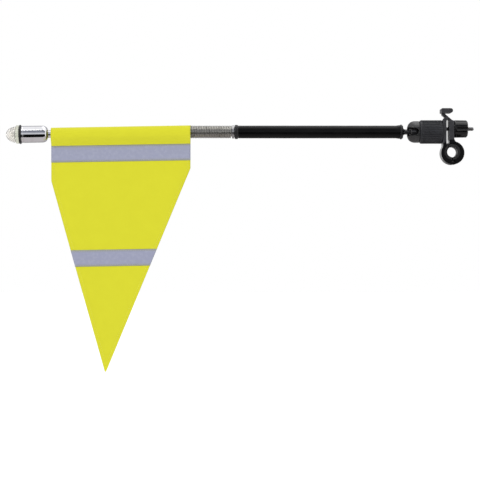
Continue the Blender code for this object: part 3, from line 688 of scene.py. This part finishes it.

# ---- Coil spring -----------------------------------------
# Lets the mast give when something knocks it. Close-wound round spring-steel wire, oiled
# bright, gripped at both ends by the plugs. It is made as two lengths that meet at a whole turn.

SPRING_RADIUS, WIRE_RADIUS, COIL_PITCH = 5.59 * MM, 0.76 * MM, 1.66 * MM
SPRING_START, SPRING_TURNS, ROOT_TURNS = -220.56 * MM, 28, 12

WIRE_BRIGHT, WIRE_OILED = (0.43, 0.42, 0.39), (0.27, 0.26, 0.235)
wire = Finish("spring_steel", WIRE_BRIGHT, 0.26, Metallic=1.0)
oil = wire.noise(320.0, 4.0, 0.65)
drawn_wire = wire.noise(1500.0, 2.0, 0.6, (1.0, 0.35, 0.35))
wire.feed("Base Color", wire.blend(oil.ramp(0.42, 0.72), WIRE_BRIGHT, WIRE_OILED))
wire.feed("Roughness", 0.24 + (oil - 0.5) * 0.25 + (drawn_wire - 0.5) * 0.15)
wire.emboss(drawn_wire, 0.008 * MM)


def coil(material):
    """A round wire wound about X, from Start towards -X, with its axis at the height Axis."""
    made = Recipe(
        "coil",
        Turns=12, Pitch=COIL_PITCH, First=SPRING_RADIUS, Last=SPRING_RADIUS, Wire=WIRE_RADIUS,
        Start=SPRING_START, Axis=ARM_Z, Sides=14, Steps=36,
    )
    turns = {
        "Resolution": made.size("Steps"),
        "Rotations": made.size("Turns"),
        "Start Radius": made.size("First"),
        "End Radius": made.size("Last"),
        "Height": made.size("Pitch") * made.size("Turns"),
    }
    wound = made.grown("CurveSpiral", turns)
    round_wire = {"Resolution": made.size("Sides"), "Radius": made.size("Wire")}
    section = made.grown("CurvePrimitiveCircle", round_wire)
    solid = made.grown("CurveToMesh", {0: wound, 1: section, "Fill Caps": True})
    along = {
        "Translation": made.vector(made.size("Start"), 0.0, made.size("Axis")),
        "Rotation": (0.0, -math.pi / 2, 0.0),
    }
    return made.close(made.grown("Transform", {0: solid, **along}), material)


spring_coil = coil(wire.material)
root_coil = spring_coil.grow("coil_spring_root", Turns=ROOT_TURNS)
tip_start = SPRING_START - ROOT_TURNS * COIL_PITCH
tip_coil = spring_coil.grow("coil_spring_tip", Turns=SPRING_TURNS - ROOT_TURNS, Start=tip_start)
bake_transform(root_coil)
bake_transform(tip_coil)
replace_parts(root_coil, "coil_spring")

# ---- Mast ------------------------------------------------
# Inside the pennant's loop: a turned plug in the spring's far end, and a bright aluminium
# rod pressed into it that carries the lamp. The spring's end lets them droop a little.

MAST_DROOP = math.radians(0.85)
MAST_PIVOT = Vector((-263.0 * MM, 0.0, ARM_Z))


def drooped(piece):
    """Tilts a piece that was made along the arm's axis, about the spring's end."""
    tilt = Matrix.Rotation(-MAST_DROOP, 4, "Y")
    piece.data.transform(Matrix.Translation(MAST_PIVOT) @ tilt @ Matrix.Translation(-MAST_PIVOT))
    return piece


tip_plug = turned(
    "spring_tip_plug_turned",
    [
        (-280.0, 0.0), (-280.0, 4.3), (-270.6, 4.3), (-270.6, 6.2), (-268.3, 6.2),
        (-268.3, 4.58), (-258.0, 4.58), (-258.0, 0.0),
    ],
    plug_metal, ease=0.2,
)
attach(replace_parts(drooped(tip_plug), "spring_tip_plug"), "mast")
mast_metal = machined("mast_aluminium", (0.72, 0.72, 0.73), 0.2, 0.5)
mast = turned(
    "mast_rod_drawn",
    [(-403.7, 0.0), (-403.7, 2.2), (-403.4, 2.5), (-272.1, 2.5), (-271.8, 2.2), (-271.8, 0.0)],
    mast_metal, facets=48,
)
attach(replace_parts(drooped(mast), "mast_rod"), "mast")

# ---- Pennant ---------------------------------------------
# One ply of fluorescent polyester, knitted fine, cut to a long point. Its top is folded
# over the mast and sewn to itself, so it hangs from a loop and turns freely.

LEFT_X, RIGHT_X, TIP_X = -400.2, -261.0, -346.3
LEFT_DROP, RIGHT_DROP, TIP_DROP = 46.0, 35.8, 238.0
LOOP_RADIUS, SEAM_DROP, HEM = 6.98, 11.4, 8.0
LOOP_REST, LOOP_SLOPE = 0.45, 2.4  # how low the loop rests at its right end, and more at its left
POINT_HALF = 0.6  # half the width of the blunt point
HEM_OFF = 0.4  # how far behind the hanging plane the hem is
PLY = 0.3  # the cloth's thickness
NARROW_FOLDS = ((1.5, 15.5, 0.5, 1.1), (0.8, 8.7, 2.4, 0.0))  # depth, width, phase and its drift
WIDE_FOLD = (2.4, 38.0, 0.9)
COLUMNS, PANEL_ROWS, HEM_ROWS = 84, 150, 6  # how finely the cloth is divided
HI_VIS = (0.53, 0.522, 0.016)


def side_x(drop, right):
    """Where the cloth's left or right edge is, this far below the arm's axis."""
    corner, outer = (RIGHT_DROP, RIGHT_X) if right else (LEFT_DROP, LEFT_X)
    point = TIP_X + (POINT_HALF if right else -POINT_HALF)
    share = min(1.0, max(0.0, (drop - corner) / (TIP_DROP - corner)))
    return point + (outer - point) * (1 - share)


def cloth_columns(drop):
    """Where the columns of a sheet's points are, from edge to edge."""
    left, right = side_x(drop, False), side_x(drop, True)
    return [left + (right - left) * j / COLUMNS for j in range(COLUMNS + 1)]


def height(x, drop):
    """The cloth's height. Its loop rests on the spring's end and, lower, on the lamp's neck."""
    share = (RIGHT_X - x) / (RIGHT_X - LEFT_X)
    return ARM_Z / MM - drop - LOOP_REST - LOOP_SLOPE * share


def sway(x, drop):
    """How far the hanging cloth stands out of its plane: soft folds that grow downwards."""
    down = max(0.0, drop - SEAM_DROP - 4.0) / (TIP_DROP - SEAM_DROP)
    narrow = 0.0
    for depth, width, phase, drift in NARROW_FOLDS:
        narrow += depth * math.sin((x - TIP_X) / width + phase + drift * down)
    depth, width, phase = WIDE_FOLD
    wide = depth * math.sin((x - TIP_X) / width + phase)
    return down * narrow * (1.0 - 0.35 * down) + down * down * wide


def cloth_path():
    """The cloth from its point up to the seam, round the mast and down into the hem.

    Each entry has the drop that sets its width, its own drop, its offset from the hanging
    plane, and how far along the cloth it is, in millimetres.
    """
    made = []
    for i in range(PANEL_ROWS):
        drop = TIP_DROP + (SEAM_DROP + 2.0 - TIP_DROP) * i / PANEL_ROWS
        made.append((drop, drop, 0.0))
    made.append((0.0, SEAM_DROP, -0.02))
    touch = math.degrees(math.acos(LOOP_RADIUS / SEAM_DROP))
    start, end = -90.0 - touch, -90.0 + touch - 360.0
    loop = arc((0.0, 0.0), (LOOP_RADIUS, LOOP_RADIUS), start, end, 44)
    y, z = loop[0]
    for t in (0.2, 0.4, 0.6, 0.8):  # straight from the seam to where the cloth meets the loop
        made.append((0.0, SEAM_DROP + (-z - SEAM_DROP) * t, y * t))
    made.extend((0.0, -z, y) for y, z in loop)
    y, z = loop[-1]
    for t in (0.2, 0.4, 0.6, 0.8):
        made.append((0.0, -z + (SEAM_DROP + z) * t, y * (1 - t) + HEM_OFF * t))
    for i in range(HEM_ROWS + 1):
        made.append((0.0, SEAM_DROP + HEM * i / HEM_ROWS, HEM_OFF + 0.03 * math.sin(i)))
    length = 0.0
    out = []
    for i, (wide, drop, y) in enumerate(made):
        if i:
            length += math.hypot(drop - made[i - 1][1], y - made[i - 1][2])
        out.append((wide, drop, y, length))
    return out


def sheet_mesh(name, rows, material, thickness):
    """A sheet from rows of (x, y, z) points in millimetres. UV is in centimetres."""
    points = [(x * MM, y * MM, z * MM) for row, _ in rows for x, y, z in row]
    mesh = bpy.data.meshes.new(name)
    mesh.from_pydata(points, [], quads(len(rows), COLUMNS + 1, columns_close=False))
    layer = mesh.uv_layers.new(name="cloth")
    at = [(point[0] / 10.0, along / 10.0) for row, along in rows for point in row]
    for corner in mesh.loops:
        layer.data[corner.index].uv = at[corner.vertex_index]
    source = link(name + "_ply", mesh)
    thick = source.modifiers.new("thickness", "SOLIDIFY")
    thick.thickness, thick.offset = thickness * MM, 0.0
    return settled(source, name, material)


def knit(name, colour, roughness, pitch, depth, sheen, glow):
    """Fine knitted polyester: small loops in columns and rows, with painted shade in the hollows
    between them and a soft uneven dye.
    """
    nap = {"Sheen_Weight": sheen, "Sheen_Roughness": 0.4, "Specular_IOR_Level": 0.25}
    made = Finish(name, colour, roughness, **nap).glow(colour, glow)
    columns = made.bands(pitch, "X", "UV")
    rows = made.bands(pitch * 0.8, "Y", "UV")
    loops = columns * 0.6 + rows * 0.4 + (made.noise(60.0, 2.0, 0.6, by="UV") - 0.5) * 0.5
    dye = made.noise(0.8, 3.0, 0.55, by="UV")
    # deep is partly painted shade in the hollows between the loops, partly a soft uneven dye
    deep = tuple(c * f for c, f in zip(colour, (0.93, 0.92, 0.8)))
    dye_and_loop_shade = loops.ramp(0.15, 0.75) * 0.7 + dye.ramp(0.3, 0.8) * 0.3
    made.feed("Base Color", made.blend(dye_and_loop_shade, deep, colour))
    return made.emboss(loops, depth).material


hi_vis = knit("hi_vis_knit", HI_VIS, 0.8, 11.0, GRAIN, 0.1, 0.05)
rows = []
for wide, drop, offset, along in cloth_path():
    still = wide == 0.0 and drop <= SEAM_DROP
    row = [
        (x, offset + (0.0 if still else sway(x, drop)), height(x, drop))
        for x in cloth_columns(wide)
    ]
    rows.append((row, along))
pennant = sheet_mesh("pennant_cloth", rows, hi_vis, PLY)
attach(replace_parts(pennant, "pennant"), "flag")

# ---- Reflective bands ------------------------------------
# Silver-grey glass-bead tape, 16.5 mm wide, sewn across both faces: one length over the
# loop's seam and one half way down. Each is stitched along both of its long edges.

TAPE, TAPE_THICK = 16.5, 0.22
TAPE_GREY, TAPE_WORN, TAPE_EDGE = (0.245, 0.257, 0.36), (0.28, 0.293, 0.395), (0.22, 0.23, 0.185)
beaded = Finish("bead_tape", TAPE_GREY, 0.5, Specular_IOR_Level=0.6, Sheen_Weight=0.2)
beads = beaded.noise(90.0, 2.0, 0.6, by="UV")
rub = beaded.noise(3.0, 4.0, 0.6, by="UV")
ribbed = beaded.bands(4.0, "Y", "UV")
edge_band = beaded.attribute("edge")
silver = beaded.blend(rub.ramp(0.4, 0.75), TAPE_GREY, TAPE_WORN)
beaded.feed("Base Color", beaded.blend(edge_band * 0.75, silver, TAPE_EDGE))
beaded.feed("Roughness", 0.42 + (rub - 0.5) * 0.25 + edge_band * 0.2)
beaded.emboss(beads + ribbed * 0.25, 0.03 * MM)


def stitch_run(material):
    """Short stitches laid end to end along a line."""
    made = Recipe("stitch_run", Pitch=2.4 * MM, Length=1.9 * MM, Thread=0.22 * MM)
    line = made.grown("MeshToCurve", {0: made.given.outputs["Geometry"]})
    apart = {0: line, "Length": made.size("Pitch")}
    spots = made.node("GeometryNodeCurveToPoints", apart, mode="LENGTH").outputs
    bead = made.grown("MeshIcoSphere", {"Radius": 0.5, "Subdivisions": 2})
    shape = made.vector(made.size("Length"), made.size("Thread") * 2.0, made.size("Thread") * 1.5)
    bead = made.grown("Transform", {0: bead, "Scale": shape})
    along = {"Vector": spots["Tangent"]}
    turn = made.node("FunctionNodeAlignRotationToVector", along, axis="X").outputs[0]
    places = {"Points": spots["Points"], "Instance": bead, "Rotation": turn}
    return made.close(made.grown("InstanceOnPoints", places), material)


def sewn_with(name, colour):
    """Stitches in a twisted thread of this colour."""
    thread = Finish(name, colour, 0.7, Sheen_Weight=0.3)
    return stitch_run(thread.emboss(thread.noise(3500.0, 2.0), GRAIN).material)


grey_stitches = sewn_with("sewing_thread", (0.33, 0.34, 0.38))
yellow_stitches = sewn_with("yellow_thread", (0.6, 0.59, 0.03))


def standoff(offset, drop):
    """How far a tape's middle is from the cloth's plane. The hem is under the upper back one."""
    past = min(1.0, max(0.0, (drop - SEAM_DROP - HEM - 0.2) / 1.6))
    return offset - 0.42 * past if offset > 0.5 else offset


def tape_strip(name, top, offset):
    """One length of tape that lies on the cloth. Its edges are drawn down by the stitches."""
    strip_rows = []
    for t in np.linspace(0.0, 1.0, 15):
        drop = top + TAPE * t
        puff = 0.1 * math.sin(math.pi * min(1.0, max(0.0, (t - 0.07) / 0.86)))
        lift = standoff(offset, drop) + math.copysign(puff, offset)
        row = [(x, sway(x, drop) + lift, height(x, drop)) for x in cloth_columns(drop)]
        strip_rows.append((row, TAPE * t))
    made = sheet_mesh(name, strip_rows, beaded.material, TAPE_THICK)
    layer = made.data.attributes.new("edge", "FLOAT", "POINT")
    for i, vertex in enumerate(made.data.vertices):
        t = (height(vertex.co.x / MM, top) - vertex.co.z / MM) / TAPE
        layer.data[i].value = 1.0 if abs(t - 0.5) > 0.38 else 0.0
    return made


def stitch_line(name, run, offset, recipe):
    """Stitches along a line on the cloth. run has (x, drop) points."""
    line = [(x * MM, (sway(x, drop) + offset) * MM, height(x, drop) * MM) for x, drop in run]
    made = recipe.grow(name, line)
    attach(made, "flag")


for level, top, back in (("upper", 11.2, 0.78), ("lower", 115.8, 0.34)):
    for face, offset in (("front", -0.34), ("back", back)):
        tape = tape_strip(f"tape_{level}_{face}", top, offset)
        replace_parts(tape, f"band_{level}_{face}")
        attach(tape, "flag")
        for edge, inset in (("top", 1.2), ("bottom", TAPE - 1.2)):
            drop = top + inset
            ends = side_x(drop, False) + 1.0, side_x(drop, True) - 1.0
            run = [(x, drop) for x in np.linspace(*ends, 60)]
            lift = standoff(offset, drop) + math.copysign(0.12, offset)
            stitch_line(f"stitches_{level}_{face}_{edge}", run, lift, grey_stitches)

# ---- Pennant edges ---------------------------------------
# Both slanting edges are turned in and sewn with yellow thread, a few millimetres from the
# edge, down to the point.

for side, right in (("left", False), ("right", True)):
    for face, offset in (("front", -0.17), ("back", 0.17)):
        inset = -3.2 if right else 3.2
        run = [(side_x(d, right) + inset, d) for d in np.linspace(30.0, 224.0, 90)]
        stitch_line(f"edge_stitches_{side}_{face}", run, offset, yellow_stitches)

# ---- Lamp body -------------------------------------------
# A mirror-polished aluminium shell, turned from bar. Its mouth is threaded for the lens,
# and its neck is a push fit on the mast.

MIRROR_LINES, MIRROR_TARNISH = (60.0, 1.0, 1.0), (0.93, 0.92, 0.92)
LAMP_BRIGHT = (0.83, 0.83, 0.86)
lamp_metal = machined("lamp_aluminium", LAMP_BRIGHT, 0.07, 0.35, MIRROR_LINES, MIRROR_TARNISH)
lamp_body = turned(
    "lamp_body_turned",
    [(-429.8, 8.2), (-429.4, 8.5), (-428.2, 8.5), (-428.0, 8.3), (-427.6, 8.3), (-427.4, 8.5)]
    + [(x, 8.5 - 0.1 * (x + 427.0) / 18.0) for x in (-420.0, -413.0)]
    + arc((-409.0, 3.8), (5.5, 4.6), 90.0, 8.0, 12)
    + [(-403.2, 3.8), (-397.4, 3.8), (-397.0, 3.4), (-397.0, 2.8), (-404.2, 2.8)]
    + [(-404.2, 1.2), (-410.5, 1.2), (-410.5, 6.1), (-425.0, 6.1), (-425.0, 7.2), (-429.8, 7.2)],
    lamp_metal, ring=True, facets=160,
)
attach(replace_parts(drooped(lamp_body), "lamp_body"), "mast")

# ---- Lamp insides ----------------------------------------
# Three button cells on a conical contact spring push a small circuit board forwards. The
# LED stands on the board inside a bright reflector.

cell_steel = machined("cell_steel", (0.6, 0.6, 0.6), 0.22, 0.8)
for number in (1, 2, 3):
    coat(f"button_cell_{number}", cell_steel)
contact = spring_coil.grow(
    "cell_contact_spring",
    Turns=3, Pitch=1.2 * MM, First=5.3 * MM, Last=3.0 * MM, Wire=0.28 * MM, Start=-411.1 * MM,
    Sides=8,
)
contact.data.materials.clear()
contact.data.materials.append(clip_steel)
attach(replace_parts(drooped(contact), "cell_spring"), "mast")

BOARD_GREEN, TRACK_GREEN = (0.012, 0.09, 0.035), (0.03, 0.15, 0.06)
board = Finish("lamp_board_green", BOARD_GREEN, 0.35)
tracks = board.bands(180.0, "DIAGONAL", distortion=6.0)
lacquer = board.blend(tracks.ramp(0.7, 0.8), BOARD_GREEN, TRACK_GREEN)
board.feed("Base Color", lacquer).emboss(tracks, GRAIN)
coat("lamp_board", board.material)

led_resin = Finish("led_resin", (0.95, 0.93, 0.86), 0.12, Transmission_Weight=0.75, IOR=1.5)
led_resin.feed("Roughness", 0.1 + led_resin.noise(500.0, 2.0) * 0.08)
led = turned(
    "lamp_led_cast",
    arc((-438.2, 0.0), (2.3, 2.5), 180.0, 90.0, 12)
    + [(-433.0, 2.5), (-432.9, 2.5), (-432.0, 2.5), (-432.0, 0.0)],
    led_resin.material, facets=48,
)
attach(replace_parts(drooped(led), "lamp_led"), "mast")
mirror = machined("reflector_chrome", (0.9, 0.9, 0.9), 0.06, 0.2)
reflector = turned(
    "lamp_reflector_pressed",
    [(-437.4, 5.0), (-433.4, 3.6), (-433.4, 2.9), (-437.4, 4.6)],
    mirror, ring=True, ease=0.08, facets=64,
)
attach(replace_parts(drooped(reflector), "lamp_reflector"), "mast")

# ---- O-ring ----------------------------------------------
# Keeps the rain out of the lamp. A black rubber ring squeezed between the lens's flange
# and the lamp's mouth.

seal_rubber = rubber("seal_rubber", (0.012, 0.012, 0.012), 0.45)
o_ring = turned(
    "lamp_seal_ring",
    arc((-431.05, 8.5), (0.95, 1.15), 180.0, 0.0, 14) + [(-430.1, 7.3), (-432.0, 7.3)],
    seal_rubber, ring=True, ease=0.3, facets=128,
)
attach(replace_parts(drooped(o_ring), "lamp_o_ring"), "lens")

# ---- Lens ------------------------------------------------
# A blunt dome of clear polycarbonate on a threaded skirt, round which a milky flange bears
# on the seal. A twist of the lens switches the lamp.

glassy = {"Transmission_Weight": 0.8, "IOR": 1.3, "Specular_IOR_Level": 0.6}
clear = Finish("lens_polycarbonate", (0.93, 0.91, 0.87), 0.15, **glassy)
haze = clear.noise(240.0, 3.0, 0.6)
clear.feed("Roughness", 0.1 + haze * 0.12)
clear.emboss(clear.noise(90.0, 2.0), 0.01 * MM)
lens = turned(
    "lens_moulding",
    arc((-435.2, 0.0), (10.3, 8.0), 180.0, 90.0, 26)
    + [(-434.5, 8.0), (-432.7, 8.0), (-432.7, 6.9), (-425.5, 6.9), (-425.5, 5.6), (-435.0, 5.6)]
    + arc((-436.2, 0.0), (6.9, 6.2), 90.0, 180.0, 20),
    clear.material, ease=0.15, facets=128,
)
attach(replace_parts(drooped(lens), "lens"), "lens")
MILK, MILK_DEEP = (0.6, 0.6, 0.52), (0.5, 0.51, 0.43)
waxy = {"Transmission_Weight": 0.2, "IOR": 1.45, "Specular_IOR_Level": 0.4}
milky = Finish("flange_polycarbonate", MILK, 0.3, **waxy)
cloud = milky.noise(300.0, 3.0, 0.6)
milky.feed("Base Color", milky.blend(cloud.ramp(0.35, 0.7), MILK, MILK_DEEP))
milky.emboss(cloud, 0.01 * MM)
flange = turned(
    "lens_flange",
    [(-435.3, 8.0), (-435.3, 8.7), (-434.9, 9.1), (-432.3, 9.1), (-432.05, 8.9), (-432.05, 8.0)],
    milky.material, ring=True, ease=0.2, facets=128,
)
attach(drooped(flange), "lens")

# ---- Studio ----------------------------------------------
# A white floor, an even white surround, two soft lights from above, and curved light and
# dark cards that are seen only in reflections.

WHITE = (1.0, 1.0, 1.0)
FLOOR_SIDE, FLOOR_Z = 9.0, -0.42
floor_white = Finish("floor_white", (0.9, 0.9, 0.9), 0.9).glow(WHITE, 0.25)
floor_mesh = bpy.data.meshes.new("floor")
corners = [(-1, -1), (1, -1), (1, 1), (-1, 1)]
corners = [(x * FLOOR_SIDE, y * FLOOR_SIDE, FLOOR_Z) for x, y in corners]
floor_mesh.from_pydata(corners, [], [(0, 1, 2, 3)])
link("floor", floor_mesh, floor_white.material)

AIM = Vector((-0.2115, 0.0, -0.0877))
CARD_LENGTH, CARD_STEPS = 1.7, 8


def card(name, low, high, distance, glow):
    """A curved card along X, between two heights in degrees, this far from the arm."""
    finish = Finish(name + "_face", (0.0, 0.0, 0.0), 1.0, Specular_IOR_Level=0.0).glow(glow, 1.0)
    places = []
    for i in range(CARD_STEPS + 1):
        tilt = math.radians(low + (high - low) * i / CARD_STEPS)
        y, z = -distance * math.cos(tilt), ARM_Z + distance * math.sin(tilt)
        places += [(AIM.x + side * CARD_LENGTH, y, z) for side in (-0.5, 0.5)]
    faces = [(2 * i, 2 * i + 1, 2 * i + 3, 2 * i + 2) for i in range(CARD_STEPS)]
    mesh = bpy.data.meshes.new(name)
    mesh.from_pydata(places, [], faces)
    made = link(name, mesh, finish.material)
    made.visible_camera = False
    made.visible_shadow = False
    made.visible_diffuse = False
    made.visible_transmission = "back" in name


for name, low, high, distance, glow in (
    ("card_top", 42.0, 55.0, 0.75, (0.1, 0.11, 0.14)),
    ("card_high", 28.0, 42.0, 0.75, (0.2, 0.215, 0.26)),
    ("card_middle", 14.0, 28.0, 0.75, (0.36, 0.375, 0.42)),
    ("card_front", -4.0, 14.0, 0.75, (0.66, 0.67, 0.7)),
    ("card_low", -45.0, -4.0, 0.55, (0.004, 0.004, 0.004)),
    ("card_under", -125.0, -45.0, 0.4, (0.56, 0.53, 0.53)),
    ("card_back_low", -170.0, -125.0, 0.4, (0.4, 0.39, 0.39)),
    ("card_back_high", 128.0, 170.0, 0.75, (0.42, 0.42, 0.44)),
):
    card(name, low, high, distance, glow)

world = bpy.data.worlds.new("surround")
world.use_nodes = True
world.node_tree.nodes["Background"].inputs["Color"].default_value = (*WHITE, 1.0)
world.node_tree.nodes["Background"].inputs["Strength"].default_value = 1.0
bpy.context.scene.world = world


def softbox(name, place, power, wide, deep):
    """A soft light at this place that points at the middle of the view."""
    data = bpy.data.lights.new(name, "AREA")
    data.shape, data.size, data.size_y, data.energy = "RECTANGLE", wide, deep, power
    made = bpy.data.objects.new(name, data)
    made.location = place
    made.rotation_mode = "QUATERNION"
    made.rotation_quaternion = (AIM - Vector(place)).to_track_quat("-Z", "Y")
    bpy.context.scene.collection.objects.link(made)


softbox("key_light", (-1.0, -1.3, 1.5), 14.0, 1.4, 0.9)
softbox("top_light", (0.2, 0.2, 1.7), 8.0, 2.0, 0.8)

camera_data = bpy.data.cameras.new("camera")
camera_data.lens, camera_data.sensor_width = 127.5, 36.0
camera = bpy.data.objects.new("camera", camera_data)
camera.location = (AIM.x, -1.7, AIM.z)
camera.rotation_euler = (math.pi / 2, 0.0, 0.0)
bpy.context.scene.collection.objects.link(camera)
bpy.context.scene.camera = camera
bpy.context.scene.view_settings.view_transform = "Standard"
